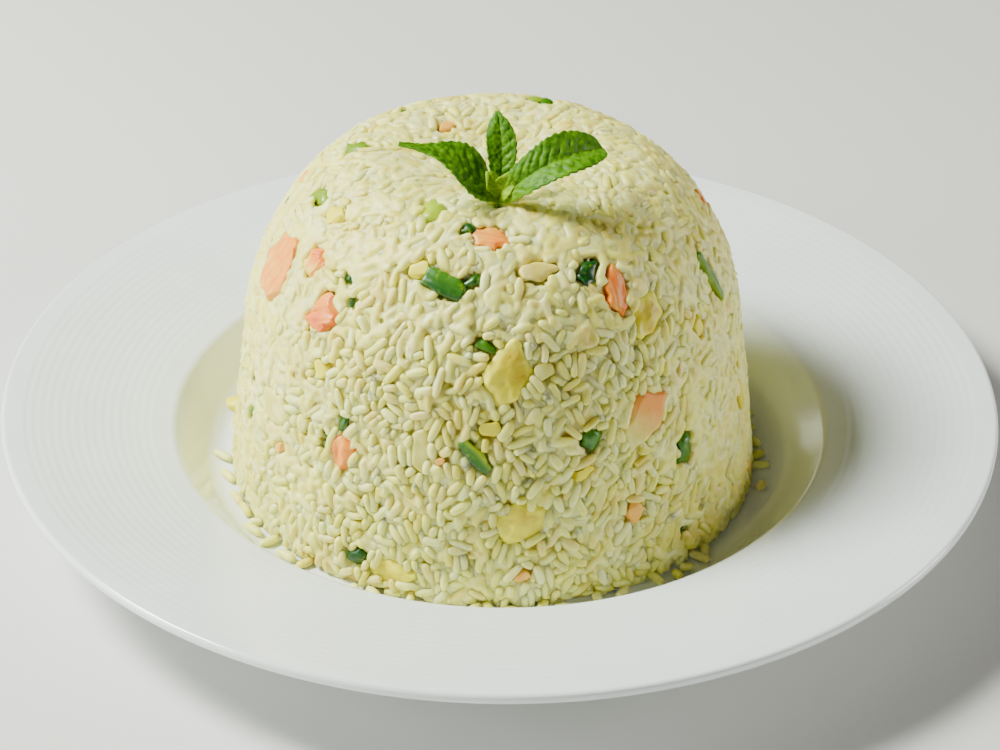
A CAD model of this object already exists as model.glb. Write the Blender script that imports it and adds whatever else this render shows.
"""Dresses the plate of fried rice.

The heap is built up from single grains over a darker core, each large piece of egg, ham, fish cake and
spring onion gets its own flesh, small bits lie between the grains, and a veined mint sprig stands on top.
Metres, +Z up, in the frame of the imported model. The front of the dish faces -Y.
"""

from __future__ import annotations

import logging
import math
import random
from collections.abc import Callable, Iterator
from contextlib import contextmanager
from dataclasses import dataclass, field
from enum import Enum

import bmesh
import bpy
import numpy as np
from mathutils import Matrix, Vector, kdtree, noise


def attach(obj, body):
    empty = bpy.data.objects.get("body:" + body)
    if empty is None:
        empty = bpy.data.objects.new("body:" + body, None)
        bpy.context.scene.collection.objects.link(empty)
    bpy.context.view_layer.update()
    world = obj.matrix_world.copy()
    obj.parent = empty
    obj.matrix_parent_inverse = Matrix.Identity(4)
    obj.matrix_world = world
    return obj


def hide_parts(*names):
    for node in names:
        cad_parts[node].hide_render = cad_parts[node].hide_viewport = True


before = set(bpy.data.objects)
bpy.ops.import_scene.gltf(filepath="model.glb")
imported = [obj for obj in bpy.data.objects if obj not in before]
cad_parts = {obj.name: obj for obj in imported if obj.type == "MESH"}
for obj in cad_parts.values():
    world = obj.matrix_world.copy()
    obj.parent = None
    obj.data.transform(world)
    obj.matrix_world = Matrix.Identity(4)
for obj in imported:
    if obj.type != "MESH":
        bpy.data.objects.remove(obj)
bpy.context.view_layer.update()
log = logging.getLogger("fried_rice")

Colour = tuple[float, float, float, float]
Test = Callable[[Vector], bool]
GAP = 0.0003


def pigment(red: int, green: int, blue: int) -> Colour:
    """A colour in a shader's own terms.

    Args:
        red: its red as a screen shows it, 0 to 255.
        green: its green.
        blue: its blue.

    Returns:
        The colour with an alpha of one.
    """
    straight = []
    for part in (red, green, blue):
        level = part / 255
        straight.append(level / 12.92 if level <= 0.04045 else ((level + 0.055) / 1.055) ** 2.4)
    return (straight[0], straight[1], straight[2], 1.0)


def smooth(share: float) -> float:
    """0 to 1 with no slope at either end."""
    share = min(max(share, 0.0), 1.0)
    return share * share * (3 - 2 * share)


# Handwork


def pick(piece: bpy.types.Object) -> None:
    """Selects one piece and makes it the active one."""
    bpy.ops.object.select_all(action="DESELECT")
    piece.select_set(True)
    bpy.context.view_layer.objects.active = piece


@contextmanager
def editing(piece: bpy.types.Object) -> Iterator[bmesh.types.BMesh]:
    """Opens a piece in edit mode with nothing selected.

    Args:
        piece: the mesh object to work on.

    Yields:
        Its mesh, for selecting by place.
    """
    pick(piece)
    bpy.ops.object.mode_set(mode="EDIT")
    bpy.ops.mesh.select_all(action="DESELECT")
    yield bmesh.from_edit_mesh(piece.data)
    bpy.ops.object.mode_set(mode="OBJECT")


def select(piece: bpy.types.Object, mesh: bmesh.types.BMesh, wanted: Test) -> None:
    """Selects the vertices that lie where they are wanted.

    Args:
        piece: the object that is open in edit mode.
        mesh: its mesh.
        wanted: says of a place whether its vertex is selected.
    """
    for vertex in mesh.verts:
        vertex.select = wanted(vertex.co)
    mesh.select_flush(True)
    bmesh.update_edit_mesh(piece.data)


def finish_modifier(piece: bpy.types.Object, kind: str, **settings: object) -> None:
    """Adds a modifier to a piece and applies it.

    Args:
        piece: the mesh object.
        kind: the modifier's type.
        settings: what is set on it.
    """
    pick(piece)
    modifier = piece.modifiers.new(kind.lower(), kind)
    for name, value in settings.items():
        setattr(modifier, name, value)
    bpy.ops.object.modifier_apply(modifier=modifier.name)


def settle(piece: bpy.types.Object) -> None:
    """Puts a piece's place, turn and size into its mesh."""
    pick(piece)
    bpy.ops.object.transform_apply(location=True, rotation=True, scale=True)


def close_seams(piece: bpy.types.Object, threshold: float = 0.00001) -> None:
    """Merges a piece's doubled vertices and turns its faces outwards."""
    with editing(piece):
        bpy.ops.mesh.select_all(action="SELECT")
        bpy.ops.mesh.remove_doubles(threshold=threshold)
        bpy.ops.mesh.normals_make_consistent(inside=False)


def shade_round(piece: bpy.types.Object) -> None:
    """Shades every face of a piece smooth."""
    pick(piece)
    bpy.ops.object.shade_smooth()


def turned(name: str, outline: list[Vector], steps: int) -> bpy.types.Object:
    """A closed body that is turned about the upright axis, as on a wheel.

    Args:
        name: the piece's name.
        outline: (radius, height) of its section, from the axis round to the axis.
        steps: how many faces go round it.

    Returns:
        The turned piece.
    """
    bpy.ops.object.select_all(action="DESELECT")
    bpy.ops.mesh.primitive_plane_add(size=0.01)
    piece = bpy.context.object
    piece.name = name
    with editing(piece):
        bpy.ops.mesh.select_all(action="SELECT")
        bpy.ops.mesh.merge(type="CENTER")
        bpy.ops.transform.translate(value=(outline[0].x, 0, outline[0].y))
        for before, after in zip(outline, outline[1:]):
            way = (after.x - before.x, 0, after.y - before.y)
            bpy.ops.mesh.extrude_region_move(TRANSFORM_OT_translate={"value": way})
    finish_modifier(
        piece, "SCREW", steps=steps, render_steps=steps, use_merge_vertices=True, merge_threshold=0.00002
    )
    close_seams(piece)
    shade_round(piece)
    return piece


def points_of(piece: bpy.types.Object) -> np.ndarray:
    """The places of a piece's vertices, one row each."""
    places = np.empty(len(piece.data.vertices) * 3)
    piece.data.vertices.foreach_get("co", places)
    return places.reshape(-1, 3)


def paint(piece: bpy.types.Object, name: str, values: np.ndarray) -> None:
    """Writes a number for each vertex of a piece, for its material to read.

    Args:
        piece: the mesh object.
        name: the attribute's name.
        values: one number for each vertex.
    """
    attribute = piece.data.attributes.new(name, "FLOAT", "POINT")
    attribute.data.foreach_set("value", np.asarray(values, dtype=np.float32))


# Materials


class Signal:
    """A number or colour on its way through a material, which sums and products can be written with."""

    def __init__(self, board: Board, socket: bpy.types.NodeSocket) -> None:
        """Keeps the socket that it comes from."""
        self.board = board
        self.socket = socket

    def __add__(self, other: Signal | float) -> Signal:
        """Their sum."""
        return self.board.maths("ADD", self, other)

    def __radd__(self, other: float) -> Signal:
        """Their sum."""
        return self.board.maths("ADD", other, self)

    def __sub__(self, other: Signal | float) -> Signal:
        """Their difference."""
        return self.board.maths("SUBTRACT", self, other)

    def __rsub__(self, other: float) -> Signal:
        """Their difference."""
        return self.board.maths("SUBTRACT", other, self)

    def __mul__(self, other: Signal | float) -> Signal:
        """Their product."""
        return self.board.maths("MULTIPLY", self, other)

    def __rmul__(self, other: float) -> Signal:
        """Their product."""
        return self.board.maths("MULTIPLY", other, self)

    def __abs__(self) -> Signal:
        """Its size without its sign."""
        return self.board.maths("ABSOLUTE", self)

    def wave(self) -> Signal:
        """Its place within the last whole number, 0 to 1."""
        return self.board.maths("FRACT", self)

    def between(self, low: float, high: float) -> Signal:
        """A soft step.

        Args:
            low: where it starts to rise from 0.
            high: where it reaches 1, which may be less than low.

        Returns:
            The step's height, 0 to 1.
        """
        settings = {"interpolation_type": "SMOOTHSTEP"}
        return self.board.node("ShaderNodeMapRange", settings, {0: self, 1: low, 2: high})


class Board:
    """The nodes of one material."""

    def __init__(self, name: str) -> None:
        """Makes the material with its one Principled shader."""
        self.material = bpy.data.materials.new(name)
        self.material.use_nodes = True
        self.tree = self.material.node_tree
        self.shader = self.tree.nodes["Principled BSDF"]

    def node(self, kind: str, settings: dict, inputs: dict, output: int | str = 0) -> Signal:
        """Adds a node.

        Args:
            kind: its type.
            settings: what is set on it before its sockets are used.
            inputs: what goes into each socket, by number or name: a signal or a constant.
            output: the socket that is read.

        Returns:
            What comes out of that socket.
        """
        made = self.tree.nodes.new(kind)
        for name, value in settings.items():
            setattr(made, name, value)
        for name, value in inputs.items():
            if isinstance(value, Signal):
                self.tree.links.new(value.socket, made.inputs[name])
            else:
                made.inputs[name].default_value = value
        return Signal(self, made.outputs[output])

    def maths(self, operation: str, *parts: Signal | float) -> Signal:
        """One sum of numbers."""
        return self.node("ShaderNodeMath", {"operation": operation}, dict(enumerate(parts)))

    def mix(self, share: Signal | float, low: Signal | Colour, high: Signal | Colour) -> Signal:
        """A colour between two others.

        Args:
            share: how much of the second there is.
            low: the first colour.
            high: the second colour.

        Returns:
            The mixed colour.
        """
        inputs = {0: share, 6: low, 7: high}
        return self.node("ShaderNodeMix", {"data_type": "RGBA"}, inputs, 2)

    def places(self, stretch: tuple[float, float, float] = (1, 1, 1)) -> Signal:
        """The place on the piece, stretched along each axis."""
        where = self.node("ShaderNodeTexCoord", {}, {}, "Object")
        return self.node("ShaderNodeMapping", {"vector_type": "POINT"}, {"Vector": where, "Scale": stretch})

    def mottle(self, where: Signal, size: float, detail: float = 2.0, output: int | str = 0) -> Signal:
        """Soft noise, 0 to 1.

        Args:
            where: the place that it is read at.
            size: how large its patches are.
            detail: how many finer layers it has.
            output: its number, or "Color" for three numbers at once.

        Returns:
            The noise.
        """
        inputs = {"Vector": where, "Scale": 1 / size, "Detail": detail, "Roughness": 0.55}
        return self.node("ShaderNodeTexNoise", {"noise_dimensions": "3D"}, inputs, output)

    def attribute(self, name: str) -> Signal:
        """The number that a piece's vertices carry under a name."""
        return self.node("ShaderNodeAttribute", {"attribute_name": name}, {}, "Fac")

    def feed(self, socket: str, signal: Signal) -> None:
        """Leads a signal to the shader."""
        self.tree.links.new(signal.socket, self.shader.inputs[socket])

    def emboss(self, height: Signal, depth: float) -> None:
        """Raises the surface by a height signal of 0 to 1 times a depth."""
        inputs = {"Height": height, "Distance": depth, "Strength": 1.0}
        self.feed("Normal", self.node("ShaderNodeBump", {}, inputs))

    def set(self, **values: float | Colour) -> None:
        """Sets constants on the shader, whose names are written with _ for a space."""
        for name, value in values.items():
            self.shader.inputs[name.replace("_", " ")].default_value = value


class Skin(Enum):
    """The finishes of the dish's pieces, and the material slot of the record that each stands for."""

    PORCELAIN = "porcelain"
    RICE = "rice"
    EGG = "egg"
    HAM = "ham"
    FISH_CAKE = "fish_cake"
    SPRING_ONION = "spring_onion"
    MINT = "mint"


@dataclass(frozen=True)
class Glaze:
    """White porcelain glaze with a slight tooth of its own."""

    white: Colour = pigment(236, 243, 244)
    shade: Colour = pigment(231, 239, 239)

    def material(self) -> bpy.types.Material:
        """Makes the material."""
        board = Board("porcelain_glaze")
        where = board.places()
        cloud = board.mottle(where, 0.03)
        board.feed("Base Color", board.mix(cloud.between(0.3, 0.7), self.shade, self.white))
        board.feed("Roughness", 0.1 + 0.08 * board.mottle(where, 0.012, 4))
        board.emboss(board.mottle(where, 0.006, 1), 0.00003)
        board.set(Specular_IOR_Level=0.55, Coat_Weight=0.35, Coat_Roughness=0.05)
        return board.material


@dataclass(frozen=True)
class CookedRice:
    """Moist grains, each with its own tone, with a clearer rim and a chalky heart."""

    pale: Colour = pigment(240, 244, 166)
    mellow: Colour = pigment(234, 229, 106)
    olive: Colour = pigment(217, 202, 62)
    beige: Colour = pigment(238, 208, 132)
    ochre: Colour = pigment(214, 184, 60)

    def material(self) -> bpy.types.Material:
        """Makes the material."""
        board = Board("cooked_rice")
        where = board.places()
        tone = board.attribute("tone")
        body = board.mix(tone.between(0.0, 0.55), self.olive, self.mellow)
        body = board.mix(tone.between(0.4, 1.0), body, self.pale)
        body = board.mix((tone * 7.3).wave().between(0.6, 0.9) * 0.5, body, self.beige)
        patch = board.mottle(where, 0.0028, 3)
        body = board.mix(patch.between(0.5, 0.75) * 0.4, body, self.pale)
        body = board.mix(patch.between(0.45, 0.2) * 0.4, body, self.olive)
        stain = board.mottle(where, 0.011, 3)
        body = board.mix(stain.between(0.52, 0.72) * 0.55, body, self.ochre)
        body = board.mix(stain.between(0.46, 0.3) * 0.6, body, self.pale)
        board.feed("Base Color", body)
        board.feed("Roughness", 0.34 + 0.22 * board.mottle(where, 0.0015, 2))
        board.emboss(board.mottle(where, 0.0011, 3), 0.00006)
        board.set(Subsurface_Weight=0.8, Subsurface_Radius=(1.0, 0.85, 0.4), Subsurface_Scale=0.0030)
        board.set(Specular_IOR_Level=0.5)
        return board.material


@dataclass(frozen=True)
class PackedRice:
    """The rice that shows between the outer grains: dim in deep gaps, as pale as they are where it is pressed."""

    dim: Colour = pigment(206, 164, 40)
    light: Colour = pigment(228, 204, 84)
    mellow: Colour = pigment(228, 219, 100)
    pale: Colour = pigment(238, 240, 160)

    def material(self) -> bpy.types.Material:
        """Makes the material."""
        board = Board("packed_rice")
        where = board.places()
        patch = board.mottle(where, 0.0035, 3)
        gap = board.mix(patch, self.dim, self.light)
        pressed = board.mix(patch.between(0.35, 0.65), self.mellow, self.pale)
        stain = board.mottle(where, 0.011, 3)
        pressed = board.mix(stain.between(0.52, 0.72) * 0.5, pressed, self.light)
        pressed = board.mix(stain.between(0.46, 0.3) * 0.5, pressed, self.pale)
        board.feed("Base Color", board.mix(board.attribute("tone").between(0.2, 0.8), pressed, gap))
        board.feed("Roughness", 0.42 + 0.2 * board.mottle(where, 0.002, 2))
        board.emboss(board.mottle(where, 0.003, 2), 0.0004)
        board.set(Subsurface_Weight=0.6, Subsurface_Radius=(1.0, 0.85, 0.4), Subsurface_Scale=0.003)
        return board.material


@dataclass(frozen=True)
class SoftEgg:
    """Scrambled egg: deep yellow folds with paler, porous crowns."""

    deep: Colour = pigment(210, 182, 0)
    bright: Colour = pigment(230, 216, 0)
    pale: Colour = pigment(240, 234, 70)

    def material(self) -> bpy.types.Material:
        """Makes the material."""
        board = Board("soft_egg")
        where = board.places()
        crown = board.attribute("crown")
        body = board.mix(crown.between(0.0, 0.6), self.deep, self.bright)
        body = board.mix(board.mottle(where, 0.0045, 3).between(0.5, 0.8) * 0.5, body, self.pale)
        body = board.mix(board.attribute("rim").between(0.55, 1.0) * 0.8, body, self.pale)
        board.feed("Base Color", body)
        board.feed("Roughness", 0.36 + 0.2 * board.mottle(where, 0.0012, 2))
        board.emboss(board.mottle(where, 0.0016, 3), 0.00014)
        board.set(Subsurface_Weight=0.3, Subsurface_Radius=(1.0, 0.9, 0.2), Subsurface_Scale=0.0015)
        return board.material


@dataclass(frozen=True)
class PinkFlake:
    """Pink flesh in strands, rosy on its outer side and cream within."""

    rose: Colour = pigment(236, 92, 0)
    salmon: Colour = pigment(250, 147, 22)
    cream: Colour = pigment(248, 214, 92)

    def material(self) -> bpy.types.Material:
        """Makes the material."""
        board = Board("pink_flake")
        where = board.places()
        strand = board.attribute("strand")
        blush = board.attribute("blush")
        cloud = board.mottle(where, 0.005, 3)
        body = board.mix((blush + cloud * 0.8 - 0.4).between(0.15, 0.7), self.cream, self.salmon)
        body = board.mix((blush * cloud).between(0.32, 0.6), body, self.rose)
        body = board.mix(strand.between(0.5, 0.15) * 0.35, body, self.rose)
        body = board.mix(strand.between(0.7, 0.95) * 0.6, body, self.cream)
        board.feed("Base Color", body)
        board.feed("Roughness", 0.3 + 0.25 * board.mottle(where, 0.001, 2))
        board.emboss(board.mottle(where, 0.0008, 3), 0.0001)
        board.set(Subsurface_Weight=0.3, Subsurface_Radius=(1.0, 0.4, 0.25), Subsurface_Scale=0.002)
        return board.material


@dataclass(frozen=True)
class CreamFlesh:
    """Smooth cream slices, with a blush where their edge was coloured."""

    cream: Colour = pigment(216, 208, 88)
    pale: Colour = pigment(234, 233, 140)
    blush: Colour = pigment(240, 146, 44)

    def material(self) -> bpy.types.Material:
        """Makes the material."""
        board = Board("cream_flesh")
        where = board.places()
        body = board.mix(board.mottle(where, 0.005, 3).between(0.35, 0.7), self.cream, self.pale)
        body = board.mix(board.attribute("blush").between(0.2, 0.8), body, self.blush)
        board.feed("Base Color", body)
        board.feed("Roughness", 0.3 + 0.2 * board.mottle(where, 0.0015, 2))
        board.emboss(board.mottle(where, 0.0012, 3), 0.0001)
        board.set(Subsurface_Weight=0.3, Subsurface_Radius=(1.0, 0.8, 0.4), Subsurface_Scale=0.002)
        return board.material


@dataclass(frozen=True)
class OnionLeaf:
    """Cut green leaf with fine ribs along it, lighter where it was nearer the root."""

    dark: Colour = pigment(6, 66, 12)
    green: Colour = pigment(54, 112, 0)
    light: Colour = pigment(160, 184, 0)

    def material(self) -> bpy.types.Material:
        """Makes the material."""
        board = Board("onion_leaf")
        where = board.places()
        ripe = board.attribute("ripe")
        body = board.mix(ripe.between(0.0, 0.5), self.light, self.green)
        body = board.mix(ripe.between(0.5, 1.0), body, self.dark)
        body = board.mix(board.mottle(where, 0.002, 2).between(0.55, 0.8) * 0.4, body, self.light)
        board.feed("Base Color", body)
        board.feed("Roughness", 0.24 + 0.2 * board.mottle(where, 0.001, 2))
        board.emboss(board.attribute("rib"), 0.0001)
        board.set(Subsurface_Weight=0.1, Subsurface_Radius=(0.4, 1.0, 0.2), Subsurface_Scale=0.001)
        return board.material


@dataclass(frozen=True)
class MintLeaf:
    """Fresh mint: dark between its veins, pale along them, and yellow-green where it is young."""

    dark: Colour = pigment(52, 100, 0)
    green: Colour = pigment(86, 138, 0)
    vein: Colour = pigment(124, 170, 4)
    young: Colour = pigment(150, 190, 0)

    def material(self) -> bpy.types.Material:
        """Makes the material."""
        board = Board("mint_leaf")
        where = board.places()
        body = board.mix(board.mottle(where, 0.0022, 4).between(0.35, 0.65), self.dark, self.green)
        body = board.mix(board.attribute("crown").between(0.35, 1.0) * 0.45, body, self.green)
        body = board.mix(board.attribute("vein") * 0.4, body, self.vein)
        body = board.mix(board.attribute("youth"), body, self.young)
        board.feed("Base Color", body)
        board.feed("Roughness", 0.4 + 0.2 * board.mottle(where, 0.0015, 2))
        board.emboss(board.mottle(where, 0.0006, 3), 0.00012)
        board.set(Subsurface_Weight=0.2, Subsurface_Radius=(0.5, 1.0, 0.1), Subsurface_Scale=0.001)
        board.set(Specular_IOR_Level=0.2)
        return board.material


def dress(piece: bpy.types.Object, material: bpy.types.Material, skin: Skin, *nodes: str) -> None:
    """Gives a piece its finish and hangs it on the dish.

    Args:
        piece: the finished piece.
        material: its material.
        skin: the finish that the record knows it by.
        nodes: the solids that it stands for.
    """
    piece.data.materials.clear()
    piece.data.materials.append(material)
    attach(piece, "root")
    if nodes:
        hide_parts(*nodes)
    log.info("%s: %d faces", piece.name, len(piece.data.polygons))


# The plate


@dataclass
class Plate:
    """A wide-rimmed plate with a flat well, a steep wall, and fine rings pressed into its rim."""

    radius: float = 0.150
    height: float = 0.032
    lip: float = 0.0032
    floor_height: float = 0.0075
    floor_radius: float = 0.0875
    floor_fillet: float = 0.009
    well_radius: float = 0.099
    well_height: float = 0.022
    well_fillet: float = 0.004
    wall: float = 0.0047
    foot_radius: float = 0.0795
    foot_width: float = 0.004
    foot_height: float = 0.0036
    foot_fillet: float = 0.0009
    base: float = 0.0045
    steps: int = 192
    first_ring: float = 0.1045
    last_ring: float = 0.1465
    ring_pitch: float = 0.00255
    ring_rise: float = 0.00009

    def corners(self) -> list[tuple[float, float, float, int]]:
        """The section's corners: radius, height, fillet and the steps of the fillet."""
        slope = math.atan2(self.well_height - self.floor_height, self.well_radius - self.floor_radius)
        out = self.wall * math.sin(slope)
        down = self.wall * math.cos(slope)
        edge = self.lip * 0.38
        inner = self.foot_radius - self.foot_width
        return [
            (0.0, self.floor_height, 0, 0),
            (self.floor_radius, self.floor_height, self.floor_fillet, 10),
            (self.well_radius, self.well_height, self.well_fillet, 8),
            (self.radius, self.height, edge, 6),
            (self.radius, self.height - self.lip, edge, 6),
            (self.well_radius + out, self.well_height - down, self.well_fillet + down, 6),
            (self.floor_radius + out, self.floor_height - down, self.floor_fillet - down, 5),
            (self.foot_radius + self.foot_fillet, self.foot_height, 0, 0),
            (self.foot_radius, 0.0, self.foot_fillet, 4),
            (inner, 0.0, self.foot_fillet, 4),
            (inner - self.foot_fillet, self.floor_height - self.base, 0, 0),
            (0.0, self.floor_height - self.base, 0, 0),
        ]

    def section(self) -> list[Vector]:
        """The section with its corners rounded and the rings of its rim.

        Returns:
            (radius, height) of each point, from the middle of the well round to the middle underneath.
        """
        corners = self.corners()
        points: list[Vector] = []
        for number, (radius, height, fillet, steps) in enumerate(corners):
            corner = Vector((radius, height))
            if not fillet:
                points.append(corner)
                continue
            back = (Vector(corners[number - 1][:2]) - corner).normalized()
            onward = (Vector(corners[number + 1][:2]) - corner).normalized()
            half = back.angle(onward) / 2
            centre = corner + (back + onward).normalized() * (fillet / math.sin(half))
            reach = fillet / math.tan(half)
            start = corner + back * reach - centre
            sweep = start.angle_signed(corner + onward * reach - centre)
            for step in range(steps + 1):
                points.append(centre + Matrix.Rotation(-sweep * step / steps, 2) @ start)
            if (radius, height) == (self.well_radius, self.well_height):
                points.extend(self.rings())
        return points

    def rings(self) -> list[Vector]:
        """The points of the rim's upper side, which rises a little at each ring."""
        rise = (self.height - self.well_height) / (self.radius - self.well_radius)
        count = round((self.last_ring - self.first_ring) / self.ring_pitch)
        points = []
        for ring in range(count):
            for share, lift in ((0.0, 0.0), (0.2, 0.55), (0.42, 1.0), (0.64, 0.55), (0.84, 0.0)):
                radius = self.first_ring + (ring + share) * self.ring_pitch
                base = self.well_height + (radius - self.well_radius) * rise
                points.append(Vector((radius, base + lift * self.ring_rise)))
        return points

    def floor_at(self, radius: float) -> float:
        """The height of the well's floor at a distance from the middle."""
        start = self.floor_radius - 0.00435
        past = max(radius - start, 0.0)
        return self.floor_height + past * past / (2 * self.floor_fillet)

    def build(self) -> None:
        """Turns the plate and glazes it."""
        piece = turned("glazed_plate", self.section(), self.steps)
        dress(piece, Glaze().material(), Skin.PORCELAIN, "plate")


# The heap's outline


@dataclass
class HeapOutline:
    """The smooth outline of the moulded heap, from the same sizes as its solid."""

    radius: float = 0.080
    height: float = 0.1085
    taper: float = 0.125
    side_power: float = 4.1
    top_power: float = 2.93
    top_height: float = 0.105
    dip_depth: float = 0.006
    dip_radius: float = 0.038
    blend: float = 0.004
    centre: Vector = field(default_factory=lambda: Vector((-0.002, -0.002, 0.0078)))
    swell: float = 0.0018
    swell_azimuth: float = math.radians(-80)
    unevenness: float = 0.0007
    uneven_size: float = 0.028
    firmest: float = 0.2
    steps: int = 400
    turns: int = 180  # how many columns the ready-made table of places has
    rows: int = 160

    def __post_init__(self) -> None:
        """Works out the section and a table of places over the whole heap."""
        section = [self.section_at(step) for step in range(self.steps + 1)]
        self.radii = np.array([point[0] for point in section])
        self.heights = np.array([point[1] for point in section])
        spans = np.hypot(np.diff(self.radii), np.diff(self.heights))
        self.runs = np.concatenate(([0.0], np.cumsum(spans)))
        rings = spans * (self.radii[1:] + self.radii[:-1]) / 2
        self.areas = np.concatenate(([0.0], np.cumsum(rings)))
        self.last = float(self.runs[-1])
        self.table = np.empty((self.turns + 1, self.rows + 1, 3))
        for column in range(self.turns + 1):
            for row in range(self.rows + 1):
                azimuth = 2 * math.pi * column / self.turns
                self.table[column, row] = self.point(azimuth, self.last * row / self.rows)

    def section_at(self, step: int) -> tuple[float, float]:
        """(radius, height) of the section at a step from the middle of the top to the foot."""
        angle = math.pi / 2 * (1 - step / self.steps)
        rise = math.sin(angle) ** (2 / self.side_power)
        level = max(math.cos(angle), 0.0) ** (2 / self.top_power)
        radius = self.radius * (1 - self.taper * rise) * level
        side = self.height * rise
        cap = self.top_height - self.dip_depth * (1 - smooth(radius / self.dip_radius))
        near = max(self.blend - abs(side - cap), 0.0) / self.blend
        return radius, min(side, cap) - near * near * self.blend / 4

    def point(self, azimuth: float, run: float) -> Vector:
        """A place on the outline.

        Args:
            azimuth: its direction, 0 at the front and more to the right.
            run: the way to it over the surface from the middle of the top.

        Returns:
            The place.
        """
        radius = float(np.interp(run, self.runs, self.radii))
        height = float(np.interp(run, self.runs, self.heights))
        full = max(0.0, math.cos(azimuth - self.swell_azimuth)) * smooth(height / self.top_height * 2 - 1)
        radius += self.swell * full * smooth(radius / self.dip_radius)
        out = Vector((math.sin(azimuth), -math.cos(azimuth), 0))
        place = self.centre + out * radius + Vector((0, 0, height))
        uneven = noise.noise(place / self.uneven_size) * self.unevenness * 2
        return place + out * uneven * smooth(height / self.top_height * 8)

    def looseness(self, place: Vector | np.ndarray) -> float:
        """How far the grains stand apart at a place: 1 low down at the front, and little where the mould pressed."""
        way = (place[0] - self.centre.x, place[1] - self.centre.y)
        front = smooth((-way[1] / (math.hypot(way[0], way[1]) + 1e-6) - 0.5) / 0.38)
        return self.firmest + (1 - self.firmest) * front * smooth((0.104 - place[2]) / 0.03)

    def place_on(self, azimuth: float, run: float, turn: float, sink: float) -> Matrix:
        """The frame of a piece in the surface.

        Args:
            azimuth: its direction.
            run: the way to it over the surface.
            turn: how far its length is turned up from level.
            sink: how deep its middle lies.

        Returns:
            A frame with X along the piece and Z out of the heap.
        """
        step = 0.001
        down = (self.point(azimuth, run + step) - self.point(azimuth, run - step)).normalized()
        across = Vector((math.cos(azimuth), math.sin(azimuth), 0))
        out = down.cross(across).normalized()
        across = out.cross(down)
        made = Matrix((across, -down, out)).transposed().to_4x4()
        made.translation = self.point(azimuth, run) - out * sink
        return made @ Matrix.Rotation(turn, 4, "Z")

    def look_up(self, azimuths: np.ndarray, runs: np.ndarray) -> np.ndarray:
        """Places on the outline, many at once, from the table."""
        column = (azimuths / (2 * math.pi) % 1.0) * self.turns
        row = np.clip(runs / self.last, 0, 1) * self.rows
        c0 = np.minimum(column.astype(int), self.turns - 1)
        r0 = np.minimum(row.astype(int), self.rows - 1)
        c = (column - c0)[:, None]
        r = (row - r0)[:, None]
        upper = self.table[c0, r0] * (1 - r) + self.table[c0, r0 + 1] * r
        other = self.table[c0 + 1, r0] * (1 - r) + self.table[c0 + 1, r0 + 1] * r
        return upper * (1 - c) + other * c

    def frames(self, azimuths: np.ndarray, runs: np.ndarray) -> tuple[np.ndarray, ...]:
        """Places on the outline with the directions across, up and out at each.

        Args:
            azimuths: their directions from the middle of the heap.
            runs: the way to each over the surface.

        Returns:
            The places, and the directions across, up the surface and out of it.
        """
        step = 0.0015
        places = self.look_up(azimuths, runs)
        down = self.look_up(azimuths, runs + step) - self.look_up(azimuths, np.maximum(runs - step, 0))
        down /= np.linalg.norm(down, axis=1)[:, None]
        across = np.stack((np.cos(azimuths), np.sin(azimuths), np.zeros_like(azimuths)), axis=1)
        out = np.cross(down, across)
        out /= np.linalg.norm(out, axis=1)[:, None]
        return places, across, -down, out


class Packing:
    """Keeps new grains clear of all that already lies in the heap, on a fine grid of cells."""

    def __init__(self, low: Vector, high: Vector, cell: float) -> None:
        """Makes the grid.

        Args:
            low: the lowest corner of the space.
            high: the highest corner.
            cell: the size of one cell.
        """
        self.low = np.array(low)
        self.cell = cell
        size = np.ceil((np.array(high) - self.low) / cell).astype(int) + 1
        self.taken = np.zeros(size, dtype=bool)
        self.balls: dict[float, np.ndarray] = {}

    def copy(self) -> Packing:
        """The same grid once more, for one layer of grains to fill."""
        made = Packing.__new__(Packing)
        made.low, made.cell, made.balls, made.taken = self.low, self.cell, self.balls, self.taken.copy()
        return made

    def cells(self, places: np.ndarray) -> np.ndarray:
        """The cell that each place lies in."""
        found = ((places - self.low) / self.cell).astype(int)
        return np.clip(found, 0, np.array(self.taken.shape) - 1)

    def free(self, places: np.ndarray) -> np.ndarray:
        """Says of rows of places, along the second last axis, whether all their cells are free."""
        found = self.cells(places)
        return ~self.taken[found[..., 0], found[..., 1], found[..., 2]].any(axis=-1)

    def fill(self, places: np.ndarray, reach: float) -> None:
        """Takes every cell within reach of the places."""
        count = int(math.ceil(reach / self.cell))
        if reach not in self.balls:
            steps = np.arange(-count, count + 1) * self.cell
            x, y, z = np.meshgrid(steps, steps, steps, indexing="ij")
            self.balls[reach] = x * x + y * y + z * z <= reach * reach
        ball = self.balls[reach]
        shape = np.array(self.taken.shape)
        middles = np.unique(self.cells(places), axis=0)
        inside = ((middles - count >= 0) & (middles + count + 1 <= shape)).all(axis=1)
        for i, j, k in middles[inside]:
            area = self.taken[i - count : i + count + 1, j - count : j + count + 1, k - count : k + count + 1]
            area |= ball


# Food in the heap


class Food(Enum):
    """The kinds of food among the rice."""

    EGG = "egg"
    HAM = "ham"
    CAKE = "cake"
    ONION = "onion"


@dataclass(frozen=True)
class Flesh:
    """How a kind of food is worked: its sink in the heap, and how its surface runs.

    press is how far the rice closes over it, grain the size of its relief along, across and through the
    piece, depth how far that stands out, and tear how ragged its outline is.
    """

    sink: float
    press: float
    soften: int
    grain: tuple[float, float, float]
    depth: float
    tear: float
    skin: Skin


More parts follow.
